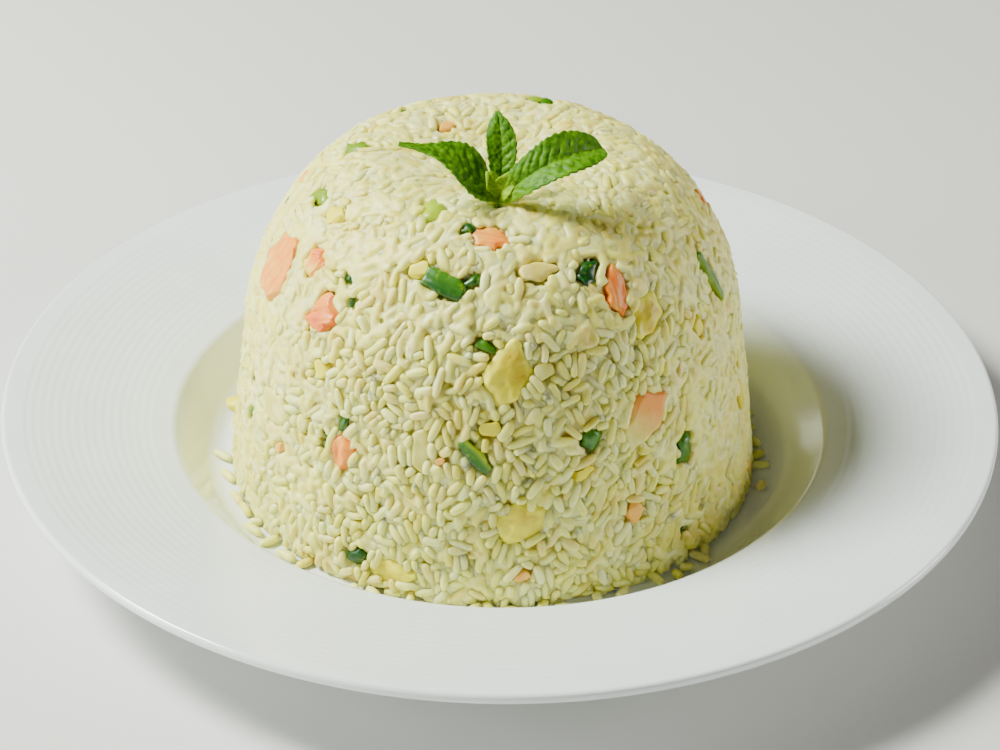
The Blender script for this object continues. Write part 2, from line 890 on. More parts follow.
FLESHES = {
    Food.EGG: Flesh(0.0012, 0.0009, 3, (0.0044, 0.0044, 0.0044), 0.00045, 0.0009, Skin.EGG),
    Food.HAM: Flesh(0.0015, 0.0010, 2, (0.0085, 0.0016, 0.0040), 0.0005, 0.0020, Skin.HAM),
    Food.CAKE: Flesh(0.0017, 0.0009, 3, (0.0080, 0.0060, 0.0060), 0.0002, 0.0012, Skin.FISH_CAKE),
    Food.ONION: Flesh(0.0006, 0.0006, 2, (0.0200, 0.0012, 0.0030), 0.0002, 0.0008, Skin.SPRING_ONION),
}


@dataclass(frozen=True)
class Topping:
    """A large piece of food, in its solid's own place.

    blush is how pink a ham or cake piece is from one end to the other, or how dark an onion piece is from
    one edge to the other, corners how many its outline has, if it isn't round, and scale its size in the
    solid's place.
    """

    node: str
    food: Food
    azimuth: float
    run: float
    turn: float
    length: float
    blush: tuple[float, float] = (0.5, 0.5)
    corners: int = 0
    scale: float = 1.0


TOPPINGS = (
    Topping("egg_front", Food.EGG, 3.5, 0.0845, 78, 0.020, corners=4, scale=0.96),
    Topping("egg_low", Food.EGG, 6, 0.1288, 30, 0.017, corners=5),
    Topping("egg_right", Food.EGG, 42, 0.0760, 60, 0.013, corners=5),
    Topping("egg_foot", Food.EGG, -21, 0.1490, 8, 0.017),
    Topping("egg_side", Food.EGG, -92, 0.1420, 30, 0.0085),
    Topping("egg_back", Food.EGG, 158, 0.0980, 50, 0.018),
    Topping("ham_left", Food.HAM, -71, 0.0770, 62, 0.023, (0.5, 0.65), scale=1.12),
    Topping("ham_upper", Food.HAM, -57, 0.0665, 80, 0.012, (0.1, 1.0), scale=0.85),
    Topping("ham_shoulder", Food.HAM, -46, 0.0785, 20, 0.0135, (0.75, 0.75)),
    Topping("ham_top", Food.HAM, -2, 0.0440, -15, 0.0135, (0.6, 0.6)),
    Topping("ham_right", Food.HAM, 35.5, 0.0655, 80, 0.0165, (0.9, 0.7)),
    Topping("ham_low", Food.HAM, -35, 0.1160, 84, 0.0150, (0.7, 0.8)),
    Topping("ham_back", Food.HAM, -150, 0.0860, 35, 0.016, (0.7, 0.5)),
    Topping("cake_right", Food.CAKE, 35.5, 0.1055, 48, 0.025, (0.0, 1.0)),
    Topping("cake_left", Food.CAKE, -57, 0.1140, 8, 0.021, (0.2, 0.0)),
    Topping("cake_strip", Food.CAKE, -16, 0.1080, 86, 0.0190, (0.1, 0.1)),
    Topping("cake_back", Food.CAKE, 118, 0.1120, 70, 0.018, (0.0, 0.2)),
    Topping("onion_top", Food.ONION, -14.5, 0.0600, -18, 0.0125, (0.95, 0.5)),
    Topping("onion_right", Food.ONION, 70, 0.0778, -76, 0.0170, (0.2, 0.8)),
    Topping("onion_front", Food.ONION, -3.5, 0.1082, -48, 0.0110, (1.0, 0.0)),
    Topping("onion_back", Food.ONION, -172, 0.0690, 40, 0.013, (0.2, 0.9)),
)


def relief(place: Vector, grain: tuple[float, float, float], seed: float) -> float:
    """Noise of -1 to 1 that is stretched along the three axes, with a finer layer on it."""
    where = Vector((place.x / grain[0] + seed, place.y / grain[1], place.z / grain[2]))
    return noise.noise(where) * 1.4 + noise.noise(where * 2.3) * 0.5


class Toppings:
    """The large pieces of food, each worked from its own solid."""

    voxel = 0.00045
    pinch = 0.07
    tear_size = 0.0042
    clearance = 0.0008

    def __init__(self, outline: HeapOutline, packing: Packing, materials: dict[Food, bpy.types.Material]):
        """Keeps the heap that they lie in and their materials."""
        self.outline = outline
        self.packing = packing
        self.materials = materials

    def rough(self, node: str) -> bpy.types.Object:
        """A copy of a solid, in one closed skin of small even faces."""
        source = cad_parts[node]
        piece = bpy.data.objects.new(f"{node}_flesh", source.data.copy())
        bpy.context.scene.collection.objects.link(piece)
        close_seams(piece)
        finish_modifier(piece, "REMESH", mode="VOXEL", voxel_size=self.voxel)
        return piece

    def work(self, topping: Topping, number: int) -> None:
        """Makes one piece of food, with its relief and colouring.

        Args:
            topping: the piece.
            number: its place in the list, which gives it its own noise.
        """
        flesh = FLESHES[topping.food]
        piece = self.rough(topping.node)
        finish_modifier(piece, "SMOOTH", factor=0.5, iterations=flesh.soften)
        azimuth, turn = math.radians(topping.azimuth), math.radians(topping.turn)
        bed = self.outline.place_on(azimuth, topping.run, turn, flesh.sink)
        inward = bed.inverted()
        across = max(abs((inward @ vertex.co).y) for vertex in piece.data.vertices)
        heights, alongs, strands, rims = [], [], [], []
        for vertex in piece.data.vertices:
            local = inward @ vertex.co
            rise = relief(local, flesh.grain, number * 3.7)
            rim = math.hypot(local.x * 2 / topping.length, local.y / across)
            heights.append(0.5 + 0.5 * rise)
            alongs.append((local.y / across if topping.food is Food.ONION else local.x * 2 / topping.length) / 2 + 0.5)
            strands.append(0.5 + 0.5 * relief(local, (0.012, 0.0009, 0.002), number * 5.1))
            rims.append(rim)
            way = math.atan2(local.y / across, local.x * 2 / topping.length)
            swell = topping.scale * (1 + self.pinch * math.cos(topping.corners * way) if topping.corners else 1.0)
            tear = noise.noise_vector(local / self.tear_size + Vector((number * 2.9, 0, 0))) * flesh.tear * min(rim, 1)
            local = Vector((local.x * swell + tear.x, local.y * swell + tear.y, local.z - flesh.press))
            vertex.co = bed @ local + vertex.normal * rise * flesh.depth
        along = np.clip(np.array(alongs), 0, 1)
        start, end = topping.blush
        shade = start + (end - start) * along
        paint(piece, "rim", np.array(rims))
        paint(piece, "crown", np.array(heights))
        paint(piece, "strand", np.array(strands))
        paint(piece, "rib", np.array(strands))
        paint(piece, "blush", shade)
        paint(piece, "ripe", shade)
        shade_round(piece)
        dress(piece, self.materials[topping.food], flesh.skin, topping.node)
        places = points_of(piece)
        middle = places.mean(axis=0)
        for share in (0.84, 0.6, 0.3):
            self.packing.fill(middle + (places - middle) * share, self.clearance)

    def build(self) -> None:
        """Makes every large piece."""
        for number, topping in enumerate(TOPPINGS):
            self.work(topping, number)


@dataclass(frozen=True)
class Bit:
    """A small bit of food: where it lies, in degrees and metres, its size, its turn and its shade."""

    azimuth: float
    run: float
    length: float
    width: float
    turn: float
    shade: float


BITS = {
    Food.ONION: (
        Bit(28.5, 0.0580, 0.0072, 0.0044, 40, 1.0),
        Bit(-28.3, 0.0352, 0.0090, 0.0058, -60, 0.0),
        Bit(46.4, 0.1191, 0.0090, 0.0045, 78, 0.6),
        Bit(-29.6, 0.1475, 0.0058, 0.0046, 60, 0.95),
        Bit(-35.0, 0.1070, 0.0045, 0.0028, 70, 0.8),
        Bit(-76.5, 0.0535, 0.0075, 0.0050, 15, 0.25),
        Bit(21.9, 0.1062, 0.0062, 0.0040, 60, 0.5),
        Bit(-7.0, 0.0585, 0.0050, 0.0030, 30, 0.8),
        Bit(-2.0, 0.0757, 0.0060, 0.0024, -20, 0.45),
        Bit(-10.8, 0.0414, 0.0036, 0.0026, 10, 1.0),
        Bit(-90.5, 0.1470, 0.0070, 0.0026, 82, 0.9),
        Bit(-67.7, 0.1242, 0.0056, 0.0028, 80, 0.3),
        Bit(-68.5, 0.1135, 0.0026, 0.0018, 0, 0.9),
        Bit(45.7, 0.1465, 0.0026, 0.0018, 30, 0.9),
        Bit(-94.5, 0.0690, 0.0030, 0.0020, 40, 0.7),
        Bit(-42.8, 0.0653, 0.0024, 0.0018, 10, 1.0),
        Bit(-46.7, 0.0726, 0.0024, 0.0018, 50, 1.0),
        Bit(-39.1, 0.0715, 0.0022, 0.0018, 80, 0.9),
        Bit(-46.2, 0.1147, 0.0022, 0.0016, 0, 1.0),
        Bit(-40.0, 0.1163, 0.0022, 0.0016, 60, 1.0),
        Bit(-39.6, 0.1128, 0.0020, 0.0016, 20, 0.9),
        Bit(140, 0.1300, 0.0070, 0.0045, 70, 0.7),
        Bit(-168, 0.1150, 0.0075, 0.0045, 75, 0.8),
    ),
    Food.EGG: (
        Bit(-62.2, 0.0523, 0.0070, 0.0055, 35, 0.6),
        Bit(72.6, 0.1200, 0.0105, 0.0042, 88, 0.4),
        Bit(-22.8, 0.0566, 0.0060, 0.0045, 10, 0.6),
        Bit(-0.5, 0.0999, 0.0060, 0.0042, 40, 0.5),
        Bit(58.3, 0.0871, 0.0060, 0.0045, 60, 0.6),
        Bit(20.0, 0.1158, 0.0062, 0.0046, 20, 0.6),
        Bit(-42.6, 0.0932, 0.0062, 0.0046, 75, 0.6),
        Bit(-105, 0.0950, 0.0085, 0.0055, 30, 0.7),
        Bit(172, 0.1380, 0.0070, 0.0055, 15, 0.7),
    ),
    Food.HAM: (
        Bit(31.9, 0.1322, 0.0062, 0.0056, 10, 1.0),
        Bit(77.6, 0.1490, 0.0044, 0.0036, 0, 1.0),
        Bit(6.4, 0.1461, 0.0044, 0.0032, 20, 1.0),
        Bit(-11.1, 0.1103, 0.0026, 0.0020, 40, 1.0),
        Bit(-142, 0.0240, 0.0056, 0.0036, 10, 1.0),
        Bit(-53.6, 0.1254, 0.0048, 0.0032, 60, 1.0),
        Bit(100, 0.0700, 0.0080, 0.0055, 15, 0.7),
        Bit(-125, 0.1300, 0.0070, 0.0055, 65, 0.8),
    ),
    Food.CAKE: (
        Bit(13.5, 0.0556, 0.0125, 0.0052, 5, 0.35),
        Bit(12.0, 0.0839, 0.0065, 0.0050, 35, 0.1),
        Bit(-46.6, 0.1132, 0.0060, 0.0046, 70, 0.1),
        Bit(-140, 0.0560, 0.0075, 0.0050, -20, 0.2),
    ),
}


@dataclass(frozen=True)
class Pattern:
    """The plain parts of a small shape: its vertices, and each face's corners in a row."""

    places: np.ndarray
    corners: np.ndarray
    starts: np.ndarray

    @staticmethod
    def of(piece: bpy.types.Object) -> Pattern:
        """Reads the shape from a piece, which is then removed."""
        mesh = piece.data
        corners = np.empty(len(mesh.loops), dtype=np.int32)
        mesh.loops.foreach_get("vertex_index", corners)
        starts = np.empty(len(mesh.polygons), dtype=np.int32)
        mesh.polygons.foreach_get("loop_start", starts)
        made = Pattern(points_of(piece), corners, starts)
        bpy.data.objects.remove(piece)
        return made


@dataclass(frozen=True)
class Copy:
    """A small shape that has been laid: its pattern, where its vertices are now, and its tone."""

    pattern: Pattern
    places: np.ndarray
    tone: float


def joined(name: str, copies: list[Copy]) -> bpy.types.Object:
    """One piece from many small shapes.

    Args:
        name: the piece's name.
        copies: the shapes as they lie.

    Returns:
        The piece, whose vertices carry their copy's tone.
    """
    places, corners, starts, tones = [], [], [], []
    points = loops = 0
    for copy in copies:
        places.append(copy.places)
        corners.append(copy.pattern.corners + points)
        starts.append(copy.pattern.starts + loops)
        tones.append(np.full(len(copy.places), copy.tone))
        points += len(copy.places)
        loops += len(copy.pattern.corners)
    mesh = bpy.data.meshes.new(name)
    mesh.vertices.add(points)
    mesh.vertices.foreach_set("co", np.concatenate(places).ravel())
    mesh.loops.add(loops)
    mesh.loops.foreach_set("vertex_index", np.concatenate(corners))
    first = np.concatenate(starts)
    mesh.polygons.add(len(first))
    mesh.polygons.foreach_set("loop_start", first)
    mesh.update(calc_edges=True)
    piece = bpy.data.objects.new(name, mesh)
    bpy.context.scene.collection.objects.link(piece)
    paint(piece, "tone", np.concatenate(tones))
    shade_round(piece)
    return piece


def press(places: np.ndarray, foot: np.ndarray, out: np.ndarray, limit: float, share: float) -> np.ndarray:
    """Flattens a shape against the mould that the heap was pressed in.

    Args:
        places: the shape's vertices.
        foot: the place that heights are measured from.
        out: the way out of the heap.
        limit: the height over the foot that is left as it is.
        share: how much of what stands higher is pressed down.

    Returns:
        The vertices after the pressing.
    """
    over = np.maximum((places - foot) @ out - limit, 0.0)
    return places - over[:, None] * out * share


class Bits:
    """The small bits of food between the grains, one piece for each kind."""

    seed = 5
    sink = 0.0015
    clearance = 0.0009
    strays = {Food.ONION: 26, Food.EGG: 10, Food.HAM: 8, Food.CAKE: 3}

    def __init__(self, outline: HeapOutline, packing: Packing, materials: dict[Food, bpy.types.Material]):
        """Keeps the heap that they lie in and their materials."""
        self.outline = outline
        self.packing = packing
        self.materials = materials

    def lump(self, sides: int, cuts: int) -> bpy.types.Object:
        """A block of unit size with its edges rounded by hand."""
        bpy.ops.object.select_all(action="DESELECT")
        bpy.ops.mesh.primitive_cylinder_add(vertices=sides, radius=0.5, depth=1.0)
        piece = bpy.context.object
        with editing(piece):
            bpy.ops.mesh.select_all(action="SELECT")
            bpy.ops.mesh.bevel(offset=0.16, segments=1)
            bpy.ops.mesh.select_all(action="SELECT")
            bpy.ops.mesh.quads_convert_to_tris()
            bpy.ops.mesh.subdivide(number_cuts=cuts, smoothness=0.6)
        return piece

    def shred(self) -> bpy.types.Object:
        """A curled scrap of leaf of unit size, thicker along its middle."""
        bpy.ops.object.select_all(action="DESELECT")
        bpy.ops.mesh.primitive_grid_add(x_subdivisions=8, y_subdivisions=4, size=1)
        piece = bpy.context.object
        for vertex in piece.data.vertices:
            x, y = vertex.co.x, vertex.co.y
            vertex.co.z = 0.32 * (0.25 - x * x) * 2 - 0.9 * y * y + 0.1 * math.sin(x * 7 + y * 3)
            vertex.co.y *= 1 - 0.9 * x * x
        finish_modifier(piece, "SOLIDIFY", thickness=0.26, offset=0)
        return piece

    def shape(self, food: Food, length: float, width: float, number: int) -> bpy.types.Object:
        """One bit at its true size about its own middle."""
        if food is Food.ONION:
            piece = self.shred()
            thickness = 0.0034
        else:
            piece = self.lump(5 if food is Food.CAKE else 6, 2)
            finish_modifier(piece, "SMOOTH", factor=0.5, iterations=2)
            thickness = 0.0034
        piece.scale = (length, width, thickness if food is not Food.ONION else max(width, 0.002))
        settle(piece)
        flesh = FLESHES[food]
        pick(piece)
        for vertex in piece.data.vertices:
            swirl = noise.noise_vector(vertex.co / 0.0034 + Vector((number * 5.3, 0, 0)))
            vertex.co += swirl * min(width * 0.38, 0.0017) + vertex.normal * relief(vertex.co, flesh.grain, number) * 0.0002
        return piece

    def stray(self, food: Food) -> list[Bit]:
        """Seeded specks over the back and sides, which the front's own bits would otherwise leave bare."""
        chance = random.Random(self.seed + len(food.value))
        found = []
        for _ in range(self.strays[food]):
            azimuth = chance.uniform(85, 262)
            run = float(np.interp(chance.random() * self.outline.areas[-1], self.outline.areas, self.outline.runs))
            length = chance.uniform(0.0022, 0.0075) if food is Food.ONION else chance.uniform(0.004, 0.007)
            run = min(max(run, 0.04), self.outline.last - 0.006)
            found.append(
                Bit(azimuth, run, length, length * chance.uniform(0.45, 0.8), chance.uniform(0, 180), chance.random())
            )
        return found

    def build(self) -> None:
        """Lays the bits of every kind."""
        for food, bits in BITS.items():
            made = []
            for number, bit in enumerate(list(bits) + self.stray(food)):
                pattern_piece = self.shape(food, bit.length, bit.width, number)
                place = self.outline.place_on(
                    math.radians(bit.azimuth), bit.run, math.radians(bit.turn), self.sink
                )
                turn, where = np.array(place.to_3x3()), np.array(place.translation)
                places = points_of(pattern_piece) @ turn.T + where
                places[:, 2] += max(self.outline.centre.z - places[:, 2].min(), 0.0)
                places = press(places, where, turn[:, 2], self.sink - 0.0003, 0.8)
                for share in (1.0, 0.6, 0.25):
                    self.packing.fill(where + (places - where) * share, self.clearance)
                made.append(Copy(Pattern.of(pattern_piece), places, bit.shade))
            piece = joined(f"{food.value}_bits", made)
            tones = np.empty(len(piece.data.vertices), dtype=np.float32)
            piece.data.attributes["tone"].data.foreach_get("value", tones)
            for name in ("blush", "ripe", "crown", "strand", "rib", "rim"):
                paint(piece, name, tones)
            dress(piece, self.materials[food], FLESHES[food].skin, "rice_mound")


# The rice


@dataclass(frozen=True)
class Cut:
    """A shape of grain, and how often it comes up."""

    length: float
    width: float
    bend: float
    blunt: float
    share: float


@dataclass(frozen=True)
class Layer:
    """Grains at one depth under the outline: how deep, how far they tip, how close they lie, and the tries."""

    shallow: float
    deep: float
    tip: float
    spacing: float
    tries: int


@dataclass(frozen=True)
class Grain:
    """A grain that has found room: its shape, directions, place, the way out of the heap, depth and size."""

    cut: int
    turn: np.ndarray
    place: np.ndarray
    out: np.ndarray
    depth: float
    size: float


@dataclass
class Rice:
    """The heap's grains over their darker core."""

    outline: HeapOutline
    plate: Plate
    packing: Packing
    seed: int = 21
    cuts: tuple[Cut, ...] = (
        Cut(0.0083, 0.0027, 30, 1.35, 0.16),
        Cut(0.0074, 0.0029, 16, 1.35, 0.26),
        Cut(0.0068, 0.0030, 44, 1.40, 0.26),
        Cut(0.0057, 0.0030, 24, 1.45, 0.18),
        Cut(0.0040, 0.0028, 10, 1.50, 0.14),
    )
    layers: tuple[Layer, ...] = (
        Layer(0.0008, 0.0016, 11, 0.00150, 900000),
        Layer(0.0019, 0.0027, 14, 0.00165, 600000),
    )
    loose_spacing: float = 0.0020
    half_width: float = 0.00125
    give: float = 0.0008
    core_shallow: float = 0.0005
    core_deep: float = 0.0011
    core_segments: int = 480
    core_rings: int = 200
    food_depth: float = 0.0030
    pit_size: float = 0.0065
    pit_depth: float = 0.0014
    beads: int = 7
    batch: int = 20000
    upright: float = 0.55
    lean: float = math.radians(78)
    pressing: float = 0.85
    tone_size: float = 0.006
    own_tone: float = 0.6
    loose: int = 54
    loose_reach: float = 0.0032
    share_of_piece: int = 600
    most_apart: int = 2600
    alone: float = 0.62
    voxel: float = 0.00058
    soften: int = 1

    def grain(self, cut: Cut) -> Pattern:
        """One grain: a bent spindle with blunt ends."""
        bpy.ops.object.select_all(action="DESELECT")
        bpy.ops.mesh.primitive_uv_sphere_add(segments=7, ring_count=6, radius=0.5)
        piece = bpy.context.object
        middle = (0, 0, 0)
        with editing(piece) as mesh:
            bpy.ops.mesh.select_all(action="SELECT")
            bpy.ops.transform.rotate(value=math.pi / 2, orient_axis="Y", center_override=middle)
            size = (cut.length, cut.width, cut.width * 0.9)
            bpy.ops.transform.resize(value=size, center_override=middle)
            select(piece, mesh, lambda co: abs(co.x) > cut.length * 0.35)
            bpy.ops.transform.resize(value=(1, cut.blunt, cut.blunt), center_override=middle)
            select(piece, mesh, lambda co: cut.length * 0.15 < abs(co.x) < cut.length * 0.35)
            bpy.ops.transform.resize(value=(1, 1.06, 1.06), center_override=middle)
        bend = math.radians(cut.bend)
        finish_modifier(piece, "SIMPLE_DEFORM", deform_method="BEND", deform_axis="Z", angle=bend)
        return Pattern.of(piece)

    def sow(self, layer: Layer, chance: np.random.Generator) -> list[Grain]:
        """Lays grains at one depth wherever there is room.

        Args:
            layer: the depth and how the grains tip there.
            chance: the source of the seeded draws.

        Returns:
            The grains.
        """
        laid = []
        room = self.packing.copy()
        shares = np.cumsum([cut.share for cut in self.cuts])
        spans = np.array([cut.length for cut in self.cuts])
        beads = np.linspace(-1, 1, self.beads)
        lowest = self.plate.floor_height + GAP + self.half_width * 0.85
        for _ in range(layer.tries // self.batch):
            count = self.batch
            azimuths = chance.uniform(0, 2 * math.pi, count)
            runs = np.interp(chance.random(count) * self.outline.areas[-1], self.outline.areas, self.outline.runs)
            depths = chance.uniform(layer.shallow, layer.deep, count)
            leaning = self.lean + chance.normal(0, 0.6, count)
            turns = np.where(chance.random(count) < self.upright, leaning, chance.uniform(0, math.pi, count))
            tips = np.radians(chance.normal(0, layer.tip, count))
            which = np.searchsorted(shares, chance.random(count) * shares[-1])
            sizes = chance.uniform(0.86, 1.12, count)
            rolls = chance.uniform(0, 2 * math.pi, count)
            places, across, up, out = self.outline.frames(azimuths, runs)
            centres = places - out * depths[:, None]
            level = np.cos(turns)[:, None] * across + np.sin(turns)[:, None] * up
            along = level * np.cos(tips)[:, None] + out * np.sin(tips)[:, None]
            some = np.flatnonzero(room.free(centres[:, None, :]))
            reach = (spans[which[some]] * sizes[some] / 2 - self.half_width * 0.9)[:, None] * beads
            lines = centres[some, None, :] + along[some, None, :] * reach[..., None]
            clear = (lines[..., 2].min(axis=1) > lowest) & room.free(lines)
            for row in np.flatnonzero(clear):
                if not room.free(lines[row]):
                    continue
                room.fill(lines[row], layer.spacing)
                k = some[row]
                turn = self.directions(along[k], out[k], float(rolls[k]))
                laid.append(Grain(int(which[k]), turn, centres[k], out[k], float(depths[k]), float(sizes[k])))
        return laid

    def directions(self, along: np.ndarray, out: np.ndarray, roll: float) -> np.ndarray:
        """The three directions of a grain as columns, rolled about its length."""
        side = np.cross(out, along)
        side /= np.linalg.norm(side)
        top = np.cross(along, side)
        return np.stack(
            (along, side * math.cos(roll) + top * math.sin(roll), top * math.cos(roll) - side * math.sin(roll)),
            axis=1,
        )

    def strew(self, chance: np.random.Generator) -> list[Grain]:
        """Lays loose grains on the plate's floor, close to the heap's foot."""
        laid = []
        upright = np.array((0.0, 0.0, 1.0))
        for _ in range(self.loose * 12):
            if len(laid) >= self.loose:
                break
            azimuth = chance.uniform(0, 2 * math.pi)
            foot = np.array(self.outline.point(azimuth, self.outline.last))
            out = np.array((math.sin(azimuth), -math.cos(azimuth), 0.0))
            place = foot + out * self.loose_reach * chance.random() ** 1.5
            place[2] = self.plate.floor_at(math.hypot(place[0], place[1])) + self.half_width
            turn = chance.uniform(0, math.pi)
            along = np.array((math.cos(turn), math.sin(turn), 0.0))
            which = int(chance.integers(0, len(self.cuts)))
            reach = self.cuts[which].length / 2 - self.half_width * 0.9
            line = place + np.linspace(-reach, reach, self.beads)[:, None] * along
            if np.hypot(line[:, 0], line[:, 1]).max() > self.plate.floor_radius or not self.packing.free(line):
                continue
            self.packing.fill(line, self.loose_spacing)
            laid.append(Grain(which, self.directions(along, upright, 0.0), place, upright, 1.0, 1.0))
        return laid

    def core(self) -> bpy.types.Object:
        """The pressed rice that fills the heap between its outer grains: a ball drawn out to the heap's outline."""
        bpy.ops.object.select_all(action="DESELECT")
        bpy.ops.mesh.primitive_uv_sphere_add(segments=self.core_segments, ring_count=self.core_rings, radius=1)
        piece = bpy.context.object
        piece.name = "rice_core"
        floor = self.outline.centre.z
        middle = np.array(self.outline.centre)
        turn_under = 0.86  # the share of the ball's way down that becomes the heap's outside
        ball = points_of(piece)
        shares = np.arccos(np.clip(ball[:, 2], -1, 1)) / math.pi
        runs = np.maximum(self.outline.last * np.minimum(shares / turn_under, 1.0), 0.0015)
        places, _, _, outs = self.outline.frames(np.arctan2(ball[:, 0], -ball[:, 1]), runs)
        depths = np.array((0.0, 0.0008, 0.0016))
        under_food = ~self.packing.free(places[:, None, :] - outs[:, None, :] * depths[:, None])
        gaps = np.empty(len(ball))
        for k, place in enumerate(places):
            spot = Vector(place)
            loose = self.outline.looseness(place)
            pit = smooth((noise.noise(spot / self.pit_size) - 0.02) / 0.4) * (0.25 + 0.75 * loose)
            depth = self.core_shallow + (self.core_deep - self.core_shallow) * loose + self.pit_depth * pit
            lumps = noise.noise(spot / 0.0040) * 0.0006 + noise.noise(spot / 0.0020) * 0.0003
            if under_food[k]:
                depth, lumps = self.food_depth, 0.0
            gaps[k] = pit
            if shares[k] < 0.001:
                place[:2] = middle[:2]
            place += outs[k] * (lumps * min(shares[k] / 0.02, 1.0) - depth)
            if shares[k] > turn_under:
                place[:2] = middle[:2] + (place[:2] - middle[:2]) * (1 - shares[k]) / (1 - turn_under)
            place[2] = max(place[2], floor)
        piece.data.vertices.foreach_set("co", places.astype(np.float32).ravel())
        piece.data.update()
        paint(piece, "tone", gaps)
        close_seams(piece)
        shade_round(piece)
        return piece

    def stick(self, piece: bpy.types.Object, copies: list[Copy]) -> None:
        """Lets the grains of a piece run together where they touch, and gives each its tone again."""
        finish_modifier(piece, "REMESH", mode="VOXEL", voxel_size=self.voxel)
        finish_modifier(piece, "SMOOTH", factor=0.5, iterations=self.soften)
        tree = kdtree.KDTree(sum(len(copy.places) for copy in copies))
        tones = []
        for copy in copies:
            for place in copy.places:
                tree.insert(place, len(tones))
                tones.append(copy.tone)
        tree.balance()
        paint(piece, "tone", np.array([tones[tree.find(vertex.co)[1]] for vertex in piece.data.vertices]))
        shade_round(piece)

    def build(self) -> None:
        """Lays every grain and dresses the rice."""
        chance = np.random.default_rng(self.seed)
        patterns = [self.grain(cut) for cut in self.cuts]
        loose = self.strew(chance)
        laid = []
        for layer in self.layers:
            found = self.sow(layer, chance)
            log.info("%d grains between %.1f and %.1f mm", len(found), layer.shallow * 1e3, layer.deep * 1e3)
            laid.extend(found)
        material = CookedRice().material()
        laid.sort(key=lambda grain: math.atan2(grain.place[1], grain.place[0]))
        stuck, apart = [], []
        for grain in laid:
            alone = chance.random() < self.alone * self.outline.looseness(grain.place)
            (apart if alone else stuck).append(grain)
        groups = {"rice_loose": loose}
        for start in range(0, len(stuck), self.share_of_piece):
            groups[f"rice_stuck_{start // self.share_of_piece + 1}"] = stuck[start : start + self.share_of_piece]
        for start in range(0, len(apart), self.most_apart):
            groups[f"rice_grains_{start // self.most_apart + 1}"] = apart[start : start + self.most_apart]
        for name, group in groups.items():
            copies = []
            for grain in group:
                stretch = grain.size * np.array((1.0, chance.uniform(0.9, 1.1), chance.uniform(0.9, 1.1)))
                places = patterns[grain.cut].places @ (grain.turn * stretch).T + grain.place
                limit = grain.depth + chance.random() * self.give * self.outline.looseness(grain.place)
                places = press(places, grain.place, grain.out, limit, self.pressing)
                near = 0.55 + 0.6 * noise.noise(Vector(grain.place) / self.tone_size)
                tone = self.own_tone * float(chance.beta(2.8, 2.2)) + (1 - self.own_tone) * near
                copies.append(Copy(patterns[grain.cut], places, tone))
            piece = joined(name, copies)
            if name.startswith("rice_stuck"):
                self.stick(piece, copies)
            dress(piece, material, Skin.RICE, "rice_mound")
        dress(self.core(), PackedRice().material(), Skin.RICE, "rice_mound")


# The mint sprig


@dataclass(frozen=True)
class Leaf:
    """A leaf from the sprig's foot.

    reach is where its tip is from there, facing the way its upper side looks, arch how far its middle rises,
    fold how steeply its halves rise from the midrib, belly where it is widest, near and far how hollow its
    edges run from there to its foot and tip, bow, lift and twist how it curves sideways, up at the tip and
    about its length, teeth how many each side has, and youth how yellow it is.
    """

    reach: Vector
    width: float
    facing: Vector
    arch: float
    fold: float
    belly: float
    near: float
    far: float
    bow: float
    lift: float
    twist: float
    teeth: int
    youth: float


